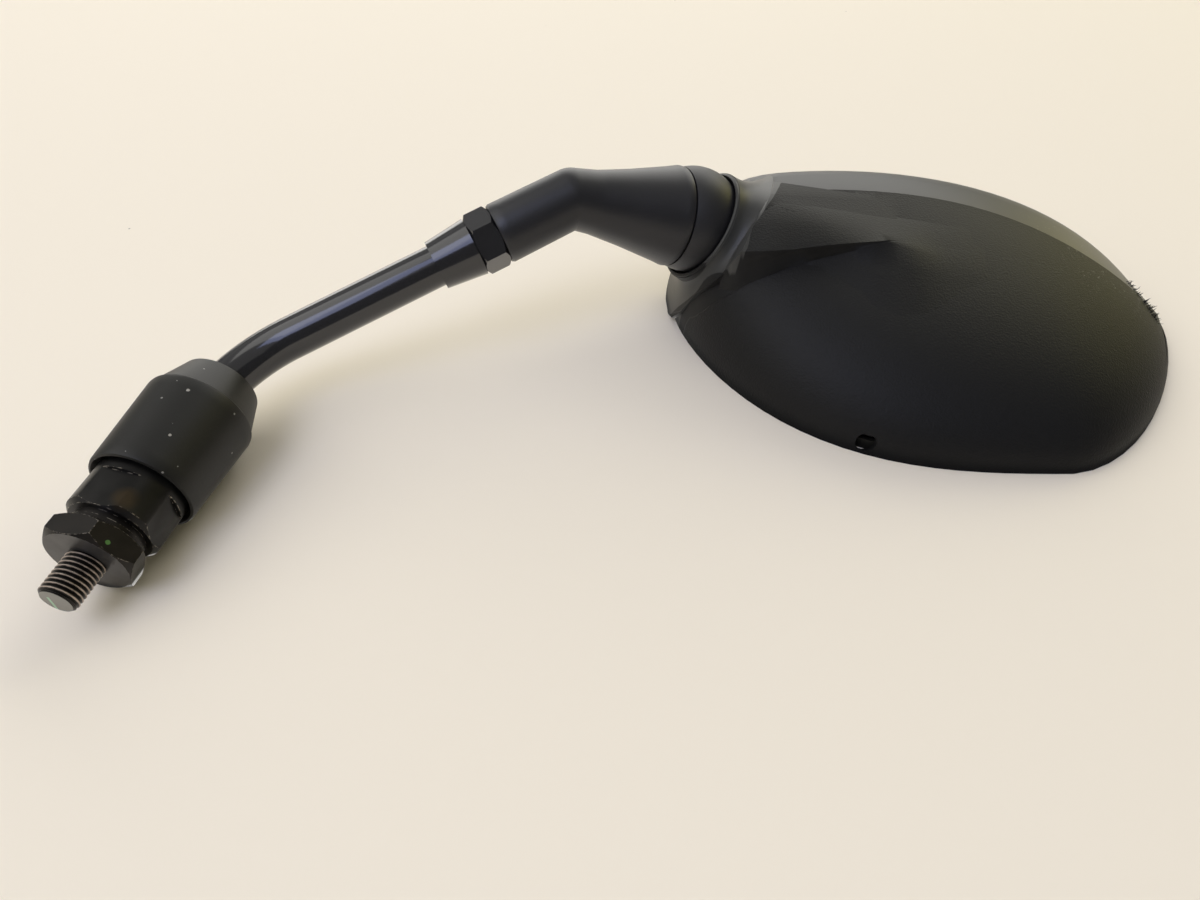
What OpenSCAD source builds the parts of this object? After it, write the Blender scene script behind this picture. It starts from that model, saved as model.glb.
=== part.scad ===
// Left-hand motorcycle mirror on a threaded stud, with a jointed stem and a ball-mounted head.
// Millimetres. The origin is the centre of the jam nut's bearing face on the stud's axis.
// +Z runs up the stem, +X points outward to the head, and the glass looks towards +Y.

/* [Stud and jam nut] */
// Diameter over the thread crests of the mounting stud
stud_d = 9.9; // [9.6:0.05:10]
// Length of stud that stands out below the jam nut
stud_free = 11.8; // [9:0.1:22]
// Chamfer on the end of the stud
stud_chamfer = 0.9; // [0.4:0.1:1.4]
// Jam nut size across its flats
jam_nut_af = 22; // [19:0.5:24]
// Jam nut thickness
jam_nut_h = 6.5; // [5:0.1:9]
// Plain washer thickness
plain_washer_t = 1.6; // [1:0.1:2.5]
// Spring washer thickness
spring_washer_t = 1.6; // [1:0.1:2.5]
// Outer diameter of both washers
washer_d = 19.4; // [17:0.1:21]

/* [Adapter] */
// Diameter of the round adapter body
adapter_d = 24.3; // [23:0.1:25]
// Length of the adapter body
adapter_h = 24; // [20:0.5:27]
// Distance across the four wrench flats
adapter_af = 22; // [20.5:0.1:22.6]
// Length of the wrench flats
flat_h = 11; // [8:0.5:13]
// Size of the hidden stem lock nut across its flats
stem_nut_af = 19; // [17:0.5:21]

/* [Boot] */
// Height of the boot's mouth above the seat
boot_z = 23; // [21:0.5:25]
// Outer diameter of the boot at its mouth
boot_mouth_d = 28.8; // [28.2:0.1:30.5]
// Outer diameter of the boot at its shoulder
boot_shoulder_d = 31.2; // [30:0.1:33]
// Outer diameter of the boot's top
boot_top_d = 21.8; // [19:0.1:24]
// Length of the boot's straight body
boot_body_h = 29.2; // [26:0.2:32]
// Height of the boot's conical shoulder
boot_cone_h = 11.9; // [9:0.1:14]
// Rubber thickness of the boot
boot_wall = 1.2; // [0.9:0.1:1.3]

/* [Stem] */
// Outer diameter of the stem tube
tube_d = 13; // [12:0.1:14]
// Height above the seat at which the tube's two straight lines meet
bend_z = 74.6; // [72:0.2:84]
// Angle between the stud's axis and the upper straight of the tube
bend_angle = 55.7; // [40:0.5:70]
// Radius of the tube's bend at its centre line
bend_r = 32; // [26:0.5:34]
// Distance from the bend corner to the collar
collar_u = 66.8; // [50:0.2:90]
// Length of the tapered collar
collar_h = 13.2; // [10:0.2:18]
// Collar diameter at its tube end
collar_d1 = 15.4; // [15:0.1:16.4]
// Collar diameter at its nut end
collar_d2 = 18.2; // [16.6:0.1:19]
// Upper lock nut size across its flats
lock_nut_af = 17; // [16.5:0.1:18]
// Upper lock nut length
lock_nut_h = 8.4; // [6:0.1:11]
// Diameter of the threaded spigots at both ends of the tube
spigot_d = 9; // [8:0.1:9.2]

/* [Elbow] */
// Length of the elbow's first leg, from the nut to the corner
leg1 = 25.1; // [22:0.1:32]
// Length of the elbow's second leg, from the corner to its rim
leg2 = 36.3; // [32:0.1:44]
// Angle between the elbow's two legs
elbow_angle = 35.5; // [20:0.5:45]
// Turn of the second leg about the tube, from the plane of the bend
elbow_turn = 86.9; // [60:0.5:110]
// Diameter of the elbow at the nut
elbow_d1 = 19; // [18:0.1:21]
// Diameter of the elbow at its corner
elbow_d2 = 18.4; // [17:0.1:21]
// Diameter of the elbow's wide rim
elbow_d3 = 32; // [31.4:0.1:32.2]

/* [Ball joint] */
// Diameter of the ball that the head turns on
ball_d = 34; // [33.6:0.1:34.6]
// Distance of the ball's centre beyond the elbow's rim
ball_gap = 6.3; // [5:0.1:7.5]
// Thickness of the plastic liner between ball and seat
liner_t = 0.5; // [0.4:0.1:0.8]
// Gap between two neighbouring ball surfaces
ball_clearance = 0.2; // [0.15:0.05:0.3]
// Wall thickness of the seat moulded in the housing
seat_t = 1.5; // [1.3:0.1:1.8]
// Wall thickness of the steel pressure cup
cup_t = 1.2; // [1:0.1:1.4]
// Diameter of the pivot stud
pivot_d = 6; // [5:0.1:6.4]
// Length of the pressed spring
spring_h = 6.6; // [6:0.1:8]
// Wire diameter of the spring
spring_wire = 1.5; // [1:0.1:1.6]
// Turns of the spring
spring_turns = 3; // [2:0.5:3.5]

/* [Housing] */
// Depth of the rim plane below the ball's centre
rim_y = 37.1; // [35:0.1:42]
// Wall thickness of the moulded shell
shell_t = 2.4; // [2:0.1:3]
// Width of the head from its inner corner to its outer end
head_w = 171.6; // [150:0.2:185]
// Drop of the rim's lowest place below the ball's centre
head_drop = 81.5; // [70:0.5:90]
// Rise of the rim's highest place above the ball's centre
head_rise = 33.9; // [30:0.1:38]
// Height of the back's ridge above the rim plane
ridge_top = 42.9; // [41:0.1:46]
// Angle of the neck towards the glass, from the head's width
neck_yaw = 34.4; // [30:0.2:38]
// Angle of the neck upwards
neck_rise = 8; // [4:0.2:12]
// Diameter of the drain hole
drain_d = 5.6; // [3:0.1:7]

/* [Head pose] */
// Turn of the head about the vertical
head_turn = 19; // [10:0.5:28]
// Roll of the head's width upwards
head_roll = 12.7; // [6:0.1:18]
// Nod of the head
head_nod = -3.3; // [-8:0.1:4]

/* [Glass] */
// Thickness of the mirror glass
glass_t = 2.2; // [1.8:0.1:3]
// Thickness of the backing plate
backing_t = 2; // [1.5:0.1:3]
// Thickness of the adhesive pad
pad_t = 0.6; // [0.4:0.1:1]
// Width of the bezel's front lip
bezel_lip = 2.4; // [1.8:0.1:3]
// Height of the bezel's front lip
bezel_t = 1.4; // [1:0.1:2]

/* [Hidden] */
$fn = 96;
fit = 0.05;
steel_black = [0.08, 0.08, 0.085];
steel_bare = [0.55, 0.55, 0.56];
rubber_black = [0.07, 0.07, 0.07];
paint_black = [0.03, 0.03, 0.035];
cast_black = [0.06, 0.06, 0.065];
shell_black = [0.1, 0.1, 0.105];

stud_r = stud_d / 2;
stud_core_r = stud_r - 0.3;
washer_z = jam_nut_h;
adapter_z = washer_z + plain_washer_t + spring_washer_t;
adapter_top = adapter_z + adapter_h;
stem_nut_h = 6.5;
stem_nut_z = adapter_top + 0.02;
bend_reach = bend_r * tan(bend_angle / 2);
bend_thin = 0.02;
bend_join = 0.06;
tube_z = stem_nut_z + stem_nut_h + 2;
nut_u = collar_u + collar_h;
elbow_u = nut_u + lock_nut_h;
corner_u = elbow_u + leg1;
spigot_r = spigot_d / 2;
spigot_reach = 16;
spigot_grip = 14;
tube_grip = 8;
pivot_r = pivot_d / 2;
pivot_reach = 16;
rim_w = -ball_gap;
backing_y = rim_y - bezel_t - glass_t - pad_t - backing_t;
screw_spots = [[58, -48], [118, -48], [104, 6]];
screw_r = 1.4;
screw_grip = 8;
pillar_r = 3.4;
plate_gap = 1.4;
drain_x = 49;
drain_rise = 4.6;
ball_r = ball_d / 2;
ball_w = leg2 + ball_gap;

b_dir = [sin(bend_angle), 0, cos(bend_angle)];
bx_dir = [cos(bend_angle), 0, -sin(bend_angle)];
c_dir = sin(elbow_angle) * (cos(elbow_turn) * bx_dir + [0, sin(elbow_turn), 0])
    + cos(elbow_angle) * b_dir;
ball_pos = [0, 0, bend_z] + corner_u * b_dir + ball_w * c_dir;

liner_r1 = ball_r + ball_clearance;
liner_r2 = liner_r1 + liner_t;
seat_r1 = liner_r2 + ball_clearance;
seat_r2 = seat_r1 + seat_t;
cup_r1 = seat_r2 + ball_clearance;
cup_r2 = cup_r1 + cup_t;
lip_z = 3.8;
seat_hole_r = 7;
seat_hole_slide = 2.8;
liner_edge = 60;
cup_edge = 34;
cup_room = 0.4;
cup_room_z = 11.4;
lip_r = seat_r1 + 0.4;
flare_r = lip_r + 0.3;
flare_z = lip_z + 0.9;
flare_power = 2.6;
neck_steps = 7;
neck_sides = 60;
boss_post_r = 2;
boss_posts = [[65, -22, 39.1], [64, 6, 41], [33, 8, 41.4]];
cup_flat_w = cup_r2 - 0.8;
spring_w = cup_flat_w + fit;
washer_w = spring_w + spring_h + fit;
thrust_washer_t = 1.2;
pivot_nut_w = washer_w + thrust_washer_t + fit;
pivot_nut_h = 4.4;
pivot_end_w = pivot_nut_w + pivot_nut_h + 0.8;
spigot_ball_r = 10.8;
spigot_ball_h = 5;

// Rim of the housing: inner end, widest places and outer end, as width and height from the ball
rim_x0 = -3.6;
rim_x1 = rim_x0 + head_w;
rim_z1 = -9.7;
low_x = 108;
high_x = 76;
stations = 40;
low_steps = 14;
high_steps = 12;
low_turn = 74;
high_power = 0.36;

// Share left at a place x between a widest place and an end, rounded by a power
function left_at(x, mid, end, round) = max(0, 1 - pow(abs((x - mid) / (end - mid)), round));
function rim_low(x) = x < low_x ? -head_drop * pow(left_at(x, low_x, rim_x0, 3), 0.67)
    : rim_z1 - (head_drop + rim_z1) * pow(left_at(x, low_x, rim_x1, 1.66), 0.78);
function rim_high(x) = x < high_x ? head_rise * pow(left_at(x, high_x, rim_x0, 2), 0.3)
    : rim_z1 + (head_rise - rim_z1) * pow(left_at(x, high_x, rim_x1, 3.9), 0.305);

// Height of the back's ridge over the rim plane, and its place, along the head's width
ridge_x = 36.6;
ridge_z_x = 42;
ridge_z_top = 9.9;
function ridge_h(x) = ridge_top * (x < ridge_x ? pow(left_at(x, ridge_x, rim_x0, 2.9), 0.39)
    : pow(left_at(x, ridge_x, rim_x1, 2.36), 0.765));
function ridge_z(x) = x < ridge_z_x ? ridge_z_top * left_at(x, ridge_z_x, rim_x0, 2)
    : rim_z1 + (ridge_z_top - rim_z1) * pow(left_at(x, ridge_z_x, rim_x1, 3.43), 2.29);

function station_x(i) = rim_x0 + head_w * (1 - cos(180 * i / stations)) / 2;
rim_curve = concat([for (i = [0:stations]) [station_x(i), rim_low(station_x(i))]],
    [for (i = [stations - 1:-1:1]) [station_x(i), rim_high(station_x(i))]]);

// The same closed curve set in by a distance along its normals
function inset_curve(pts, d) = let (n = len(pts)) [for (i = [0:n - 1])
    let (a = pts[(i + n - 1) % n], b = pts[(i + 1) % n], v = (b - a) / norm(b - a))
    pts[i] + d * [-v[1], v[0]]];

// One point of the back: station i and step j, from the lower rim over the ridge to the upper rim
function back_point(i, j, rim, inset) =
    let (n = len(rim), lo = rim[i], up = rim[(n - i) % n], x = station_x(i),
        top_x = x + inset * cos(180 * i / stations), top_z = ridge_z(x),
        h = max(0, ridge_h(x) - inset * sin(180 * i / stations)),
        is_low = j <= low_steps,
        q = is_low ? j / low_steps : (low_steps + high_steps - j) / high_steps,
        side = is_low ? lo : up,
        across = is_low ? (1 - cos(low_turn * q)) / (1 - cos(low_turn)) : 1 - pow(cos(90 * q), high_power),
        rise = is_low ? sin(low_turn * q) / sin(low_turn) : pow(sin(90 * q), high_power))
    [side[0] + (top_x - side[0]) * across, rim_y - h * rise, side[1] + (top_z - side[1]) * across];

// Closed solid under the back's skin, set in by the wall and let down past the rim plane
module back_solid(inset, drop) {
    rim = inset_curve(rim_curve, inset);
    m = low_steps + high_steps + 1;
    pole0 = [rim[0][0], rim_y, rim[0][1]];
    pole1 = [rim[stations][0], rim_y, rim[stations][1]];
    grid = [for (i = [1:stations - 1]) for (j = [0:m - 1]) back_point(i, j, rim, inset)];
    skirt = [for (p = rim) [p[0], rim_y + drop, p[1]]];
    pts = concat(grid, [pole0, pole1], skirt);
    g = len(grid);
    k0 = g + 2;
    last = stations - 2;
    quads = [for (i = [0:last - 1]) for (j = [0:m - 2]) let (a = i * m + j, b = a + m)
        each [[a, a + 1, b + 1], [a, b + 1, b]]];
    fan0 = [for (j = [0:m - 2]) [g, j + 1, j]];
    fan1 = [for (j = [0:m - 2]) [g + 1, last * m + j, last * m + j + 1]];
    edge = concat([g], [for (i = [0:last]) i * m], [g + 1], [for (i = [last:-1:0]) i * m + m - 1]);
    n = len(edge);
    wall = [for (e = [0:n - 1]) let (f = (e + 1) % n)
        each [[edge[e], edge[f], k0 + f], [edge[e], k0 + f, k0 + e]]];
    floor_face = [[for (e = [0:n - 1]) k0 + e]];
    polyhedron(points = pts, faces = concat(quads, fan0, fan1, wall, floor_face), convexity = 6);
}

module along_tube(u) {
    translate([0, 0, bend_z]) rotate([0, bend_angle, 0]) translate([0, 0, u]) children();
}

module along_leg(w) {
    along_tube(corner_u) rotate([0, 0, elbow_turn]) rotate([0, elbow_angle, 0])
        translate([0, 0, w]) children();
}

module in_head() {
    translate(ball_pos) rotate([head_nod, -head_roll, head_turn]) children();
}

module in_neck() {
    in_head() rotate([0, 0, neck_yaw]) rotate([0, 90 - neck_rise, 0]) children();
}

module hex_bar(af, h) {
    cylinder(d = af / cos(30), h = h, $fn = 6);
}

module nut(af, h, bore, bevel) {
    corner_d = af / cos(30);
    difference() {
        intersection() {
            hex_bar(af, h);
            union() {
                cylinder(d1 = af - 0.3, d2 = corner_d + 0.2, h = bevel);
                translate([0, 0, bevel]) cylinder(d = corner_d + 0.2, h = h - 2 * bevel);
                translate([0, 0, h - bevel]) cylinder(d1 = corner_d + 0.2, d2 = af - 0.3, h = bevel);
            }
        }
        translate([0, 0, -1]) cylinder(d = bore, h = h + 2);
    }
}

module washer(d, bore, t) {
    difference() {
        cylinder(d = d, h = t);
        translate([0, 0, -1]) cylinder(d = bore, h = t + 2);
    }
}

module threaded_adapter() color(steel_black) {
    chamfer = 1.2;
    difference() {
        union() {
            translate([0, 0, -stud_free])
                cylinder(r1 = stud_r - stud_chamfer, r2 = stud_r, h = stud_chamfer);
            translate([0, 0, stud_chamfer - stud_free]) cylinder(r = stud_r, h = stud_free - stud_chamfer);
            cylinder(r = stud_core_r, h = adapter_z + 1);
            difference() {
                translate([0, 0, adapter_z]) union() {
                    cylinder(d1 = adapter_d - 2 * chamfer, d2 = adapter_d, h = chamfer);
                    translate([0, 0, chamfer]) cylinder(d = adapter_d, h = adapter_h - chamfer);
                }
                for (a = [0:90:270]) rotate([0, 0, a + 24]) translate([adapter_af / 2, -adapter_d, adapter_z - 1])
                    cube([adapter_d, 2 * adapter_d, flat_h + 1]);
            }
        }
        translate([0, 0, adapter_top - spigot_grip]) cylinder(r = spigot_r + fit, h = spigot_grip + 1);
    }
}

module jam_nut() color(steel_black) {
    rotate([0, 0, 14]) nut(jam_nut_af, jam_nut_h, 2 * (stud_core_r + fit), 1.5);
}

module plain_washer() color(steel_black) {
    translate([0, 0, washer_z]) washer(washer_d, stud_d + 0.3, plain_washer_t);
}

module spring_washer() color(steel_black) {
    translate([0, 0, washer_z + plain_washer_t]) difference() {
        washer(washer_d - 0.8, stud_d + 0.3, spring_washer_t);
        rotate([0, 0, 200]) translate([0, -0.6, -1]) cube([washer_d, 1.2, spring_washer_t + 2]);
    }
}

module lower_spigot() color(steel_bare) {
    translate([0, 0, adapter_top - spigot_grip + 0.5])
        cylinder(r = spigot_r, h = tube_z - adapter_top + spigot_grip + tube_grip);
}

module stem_lock_nut() color(steel_black) {
    translate([0, 0, stem_nut_z]) nut(stem_nut_af, stem_nut_h, spigot_d + 2 * fit, 1.1);
}

// Ring, or full disc where the bore is 0
module tube_ring(r, bore_r) {
    difference() {
        circle(r = r);
        if (bore_r > 0) circle(r = bore_r);
    }
}

// Round bar or tube along the stem's centre line, from a height z0 to a distance u1 past the corner.
// The wall thins a little round the bend, as a bent tube's does.
module tube_path(r, bore_r, z0, u1) {
    bend_z0 = bend_z - bend_reach;
    translate([0, 0, z0]) linear_extrude(height = bend_z0 - z0 + bend_join) tube_ring(r, bore_r);
    translate([bend_r, 0, bend_z0]) rotate([90, 0, 180])
        rotate_extrude(angle = bend_angle) translate([bend_r, 0])
        tube_ring(r - bend_thin, bore_r > 0 ? bore_r + bend_thin : 0);
    along_tube(bend_reach - bend_join) linear_extrude(height = u1 - bend_reach + bend_join)
        tube_ring(r, bore_r);
}

module rubber_boot() color(rubber_black) {
    z1 = boot_z + boot_body_h;
    z2 = z1 + boot_cone_h;
    rm = boot_mouth_d / 2;
    rs = boot_shoulder_d / 2;
    rt = boot_top_d / 2;
    lip = adapter_d / 2 + 0.3;
    difference() {
        rotate_extrude() polygon([
            [rm - 0.9, boot_z], [rm - 0.25, boot_z + 0.25], [rm, boot_z + 0.9], [rs, z1 - 0.8],
            [rs - 0.15, z1], [rs - 0.7, z1 + 0.5], [rt + 0.5, z2 - 0.5], [rt - 0.4, z2],
            [0, z2], [0, z2 - 3], [rt - boot_wall - 0.4, z2 - 3], [rs - boot_wall, z1],
            [rm - boot_wall, boot_z + 5], [lip, boot_z + 4.6], [lip, boot_z + 3.9],
            [rm - boot_wall, boot_z + 3.5], [rm - boot_wall, boot_z + 2.3],
            [lip, boot_z + 1.9], [lip, boot_z + 1.2], [rm - boot_wall - 0.2, boot_z + 0.6]]);
        tube_path(tube_d / 2 + 0.1, 0, z1 - 10, bend_reach + 10);
    }
}

module stem_tube() color(paint_black) {
    tube_path(tube_d / 2, spigot_r + fit, tube_z, nut_u - fit);
}

module collar() color(paint_black) {
    along_tube(collar_u) difference() {
        cylinder(d1 = collar_d1, d2 = collar_d2, h = collar_h - fit);
        translate([0, 0, -1]) cylinder(d = tube_d + 2 * fit, h = collar_h + 2);
    }
}

module upper_spigot() color(steel_bare) {
    along_tube(nut_u - spigot_grip)
        cylinder(r = spigot_r, h = spigot_grip + lock_nut_h + spigot_reach - 0.5);
}

module lock_nut() color(paint_black) {
    along_tube(nut_u) rotate([0, 0, 10]) nut(lock_nut_af, lock_nut_h - fit, spigot_d + 2 * fit, 1.2);
}

module elbow() color(cast_black) {
    r1 = elbow_d1 / 2;
    r2 = elbow_d2 / 2;
    r3 = elbow_d3 / 2;
    difference() {
        union() {
            along_tube(elbow_u) cylinder(r1 = r1 - 0.4, r2 = r1, h = 0.8);
            along_tube(elbow_u + 0.8) cylinder(r1 = r1, r2 = r2, h = leg1 - 0.8);
            along_leg(0) sphere(r = r2);
            along_leg(0) rotate_extrude() polygon([[0, 0], [r2, 0], [r2 + (r3 - r2) * 0.1, leg2 * 0.2],
                [r2 + (r3 - r2) * 0.42, leg2 * 0.5], [r2 + (r3 - r2) * 0.86, leg2 * 0.85],
                [r3, leg2 - 2], [r3 - 0.1, leg2 - 0.7], [r3 - 0.8, leg2], [0, leg2]]);
            along_leg(leg2 - 1) cylinder(r = spigot_ball_r, h = spigot_ball_h + 1);
        }
        along_tube(elbow_u - 1) cylinder(r = spigot_r + fit, h = spigot_reach + 1);
        along_leg(leg2 - pivot_reach) cylinder(r = pivot_r + fit, h = pivot_reach + spigot_ball_h + 1);
    }
}

module pivot_ball() color(cast_black) {
    along_leg(ball_w) difference() {
        sphere(r = ball_r);
        translate([0, 0, rim_w + fit - 30]) cylinder(r = 30, h = 30);
        translate([0, 0, rim_w]) cylinder(r = spigot_ball_r + fit, h = spigot_ball_h + fit);
        translate([0, 0, rim_w]) cylinder(r = pivot_r + fit, h = ball_d);
    }
}

module pivot_stud() color(steel_bare) {
    along_leg(ball_w + rim_w - pivot_reach + 0.5)
        cylinder(r = pivot_r, h = pivot_end_w - rim_w + pivot_reach - 0.5);
}

// Part of a spherical wall, out to an edge given as an angle from the axis
module ball_wall(r1, r2, edge) {
    difference() {
        intersection() {
            sphere(r = r2);
            cylinder(r1 = 0, r2 = 2 * r2 * tan(edge), h = 2 * r2);
        }
        sphere(r = r1);
    }
}

// Oval hole through seat and liner, which the pivot stud tilts in
module seat_hole(spare) {
    hull() for (side = [-1, 1]) translate([0, side * seat_hole_slide, 0])
        cylinder(r = seat_hole_r + spare, h = 1.5 * ball_d, $fn = 48);
}

module ball_liner() color(shell_black) {
    in_neck() difference() {
        ball_wall(liner_r1, liner_r2, liner_edge);
        seat_hole(0);
    }
}

module pressure_cup() color(steel_bare) {
    along_leg(ball_w) difference() {
        ball_wall(cup_r1, cup_r2, cup_edge);
        cylinder(r = pivot_r + 2 * fit, h = ball_d);
        translate([0, 0, cup_flat_w]) cylinder(r = ball_d, h = ball_d);
    }
}

// Round wire wound up the given height, closed at both ends
module spring_coil(r, wire, h, turns) {
    sides = 8;
    steps = ceil(turns * 18);
    ring = [for (k = [0:sides - 1]) [wire / 2 * cos(360 * k / sides), wire / 2 * sin(360 * k / sides)]];
    pts = [for (i = [0:steps]) let (a = 360 * turns * i / steps, z = wire / 2 + (h - wire) * i / steps)
        for (p = ring) [(r + p[0]) * cos(a), (r + p[0]) * sin(a), z + p[1]]];
    sides_faces = [for (i = [0:steps - 1]) for (k = [0:sides - 1]) let (n = (k + 1) % sides)
        [i * sides + k, (i + 1) * sides + k, (i + 1) * sides + n, i * sides + n]];
    polyhedron(points = pts, faces = concat([[for (k = [0:sides - 1]) k]], sides_faces,
        [[for (k = [sides - 1:-1:0]) steps * sides + k]]), convexity = 8);
}

module pivot_spring() color(steel_bare) {
    along_leg(ball_w + spring_w) spring_coil(5.2, spring_wire, spring_h, spring_turns);
}

module thrust_washer() color(steel_bare) {
    along_leg(ball_w + washer_w) washer(14, pivot_d + 4 * fit, thrust_washer_t);
}

module pivot_nut() color(steel_bare) {
    along_leg(ball_w + pivot_nut_w) nut(10, pivot_nut_h, pivot_d + 2 * fit, 0.7);
}

// Crease where the flared neck meets the head: angle about the neck, place along it, and how far
// it lies outside the pressure cup
neck_crease = [[-180, 23, 8.2], [-143, 24, 7.8], [-101, 18, 2.4], [-60, 11.6, 1.6], [-22, 10, 1.8],
    [6, 8.6, 1.8], [42, 10, 1.8], [84, 16, 12.8], [130, 18, 11.2], [180, 23, 8.2]];

// Smooth curve through the crease's values: k picks the place along the neck or the distance out
function crease_at(a, k) = let (n = len(neck_crease) - 1,
        i = [for (j = [0:n - 1]) if (a >= neck_crease[j][0] && a < neck_crease[j + 1][0]) j][0],
        t = (a - neck_crease[i][0]) / (neck_crease[i + 1][0] - neck_crease[i][0]),
        p0 = neck_crease[(i + n - 1) % n][k], p1 = neck_crease[i][k], p2 = neck_crease[i + 1][k],
        p3 = neck_crease[(i + 2) % n][k])
    p1 + 0.5 * t * (p2 - p0 + t * (2 * p0 - 5 * p1 + 4 * p2 - p3 + t * (3 * (p1 - p2) + p3 - p0)));

// Point of the flare at an angle about the neck: s goes from 0 at the lip to 1 at the crease
function neck_point(a, s, inset) = let (w = crease_at(a, 1), r = cup_r2 + crease_at(a, 2),
        ring_r = flare_r + (r - flare_r) * pow(s, flare_power) - inset)
    [ring_r * cos(a), ring_r * sin(a), flare_z + (w - flare_z) * s];

// Flared neck from the lip to the crease, as rings round the neck, set in by the wall
module neck_flare(inset) {
    n = neck_sides;
    rings = concat([for (s = [0:neck_steps]) [for (j = [0:n - 1])
            neck_point(-180 + 360 * j / n, s / neck_steps, inset)]],
        [[for (j = [0:n - 1]) let (p = neck_point(-180 + 360 * j / n, 1, inset + 1.2)) p + [0, 0, 0.8]]]);
    m = len(rings);
    pts = concat([[0, 0, flare_z]], [for (ring = rings) each ring], [[0, 0, cup_r2]]);
    in_neck() polyhedron(points = pts, convexity = 6, faces = concat(
        [for (j = [0:n - 1]) [0, 1 + j, 1 + (j + 1) % n]],
        [for (k = [0:m - 2]) for (j = [0:n - 1]) let (a = 1 + k * n + j, b = 1 + k * n + (j + 1) % n)
            each [[a, b + n, b], [a, a + n, b + n]]],
        [for (j = [0:n - 1]) let (a = 1 + (m - 1) * n) [a + (j + 1) % n, a + j, 1 + m * n]]));
}

// Boss that fairs the crease's near side into the back
module neck_boss(inset) {
    hull() {
        in_neck() for (a = [-104:12:88]) let (p = neck_point(a, 1, inset - 0.15))
            translate(p) cylinder(r = 0.3, h = 1, $fn = 6);
        in_head() for (p = boss_posts) translate([p[0], rim_y - p[2] + inset, p[1]])
            rotate([-90, 0, 0]) cylinder(r = boss_post_r - inset / 2, h = 12, $fn = 16);
    }
}

module screw_pillars(r, h) {
    in_head() for (p = screw_spots) translate([p[0], backing_y - fit - h, p[1]])
        rotate([-90, 0, 0]) cylinder(r = r, h = h, $fn = 32);
}

// Space on the neck's side of the rim plane, or a distance past it
module over_rim(drop) {
    in_head() translate([-head_w, rim_y + drop - head_w, -head_w]) cube([2 * head_w, head_w, 2 * head_w]);
}

module housing() color(shell_black) {
    difference() {
        union() {
            difference() {
                union() {
                    in_head() back_solid(0, 0);
                    intersection() {
                        union() {
                            neck_boss(0);
                            neck_flare(0);
                        }
                        over_rim(-0.4);
                    }
                    in_neck() rotate_extrude() polygon([[0, lip_z], [lip_r - 0.5, lip_z], [lip_r, lip_z + 0.3],
                        [lip_r + 0.2, lip_z + 1.1], [0, lip_z + 1.1]]);
                }
                in_head() back_solid(shell_t, 1);
                intersection() {
                    union() {
                        neck_flare(shell_t);
                        neck_boss(shell_t);
                        in_neck() sphere(r = cup_r2 + cup_room);
                    }
                    in_neck() translate([0, 0, cup_room_z]) cylinder(r = head_w, h = head_w);
                    over_rim(2);
                }
            }
            in_neck() intersection() {
                sphere(r = seat_r2);
                rotate_extrude() polygon([[0, lip_z + 0.5], [lip_r - 0.1, lip_z + 0.5], [lip_r - 0.1, 7.2],
                    [seat_r2, 7.2], [seat_r2, ball_d], [0, ball_d]]);
            }
            intersection() {
                in_head() back_solid(0.5, 0);
                screw_pillars(pillar_r, 40);
            }
        }
        in_neck() sphere(r = seat_r1);
        in_neck() seat_hole(0.4);
        screw_pillars(screw_r, 10);
        rim_plate(shell_t, backing_y - 0.3, rim_y + 1);
        in_head() translate([drain_x, rim_y - drain_rise, rim_low(drain_x)]) rotate([-30, 0, 0])
            translate([0, 0, -drain_d]) cylinder(d = drain_d, h = 3 * drain_d);
    }
}

// Plate with the rim's outline, set in by a distance, between two depths of the head
module rim_plate(inset, y0, y1) {
    in_head() translate([0, y1, 0]) rotate([90, 0, 0]) linear_extrude(height = y1 - y0)
        polygon(inset_curve(rim_curve, inset));
}

module backing_plate() color(shell_black) {
    difference() {
        rim_plate(shell_t + plate_gap, backing_y, backing_y + backing_t);
        in_head() for (p = screw_spots) translate([p[0], backing_y - 1, p[1]]) rotate([-90, 0, 0])
            cylinder(r = screw_r + 0.2, h = backing_t + 2, $fn = 32);
    }
}

module backing_screws() color(steel_bare) {
    in_head() for (p = screw_spots) translate([p[0], backing_y + backing_t, p[1]]) rotate([90, 0, 0])
        cylinder(r = screw_r - fit, h = backing_t + screw_grip, $fn = 32);
}

module adhesive_pad() color(shell_black) {
    rim_plate(shell_t + 6, backing_y + backing_t, backing_y + backing_t + pad_t);
}

module mirror_glass() color([0.75, 0.8, 0.85]) {
    rim_plate(shell_t + plate_gap, rim_y - bezel_t - glass_t, rim_y - bezel_t);
}

module glass_bezel() color(rubber_black) {
    difference() {
        rim_plate(shell_t + 0.1, rim_y - bezel_t - glass_t, rim_y);
        rim_plate(shell_t + 0.1 + bezel_lip, rim_y - bezel_t - 1, rim_y + 1);
        rim_plate(shell_t + plate_gap - fit, rim_y - bezel_t - glass_t - 1, rim_y - bezel_t);
    }
}

threaded_adapter();
jam_nut();
plain_washer();
spring_washer();
lower_spigot();
stem_lock_nut();
rubber_boot();
stem_tube();
collar();
upper_spigot();
lock_nut();
elbow();
pivot_ball();
pivot_stud();
ball_liner();
pressure_cup();
pivot_spring();
thrust_washer();
pivot_nut();
housing();
backing_plate();
backing_screws();
adhesive_pad();
mirror_glass();
glass_bezel();
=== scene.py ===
import math
from random import Random

import bpy
from mathutils import Matrix, Vector


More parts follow.
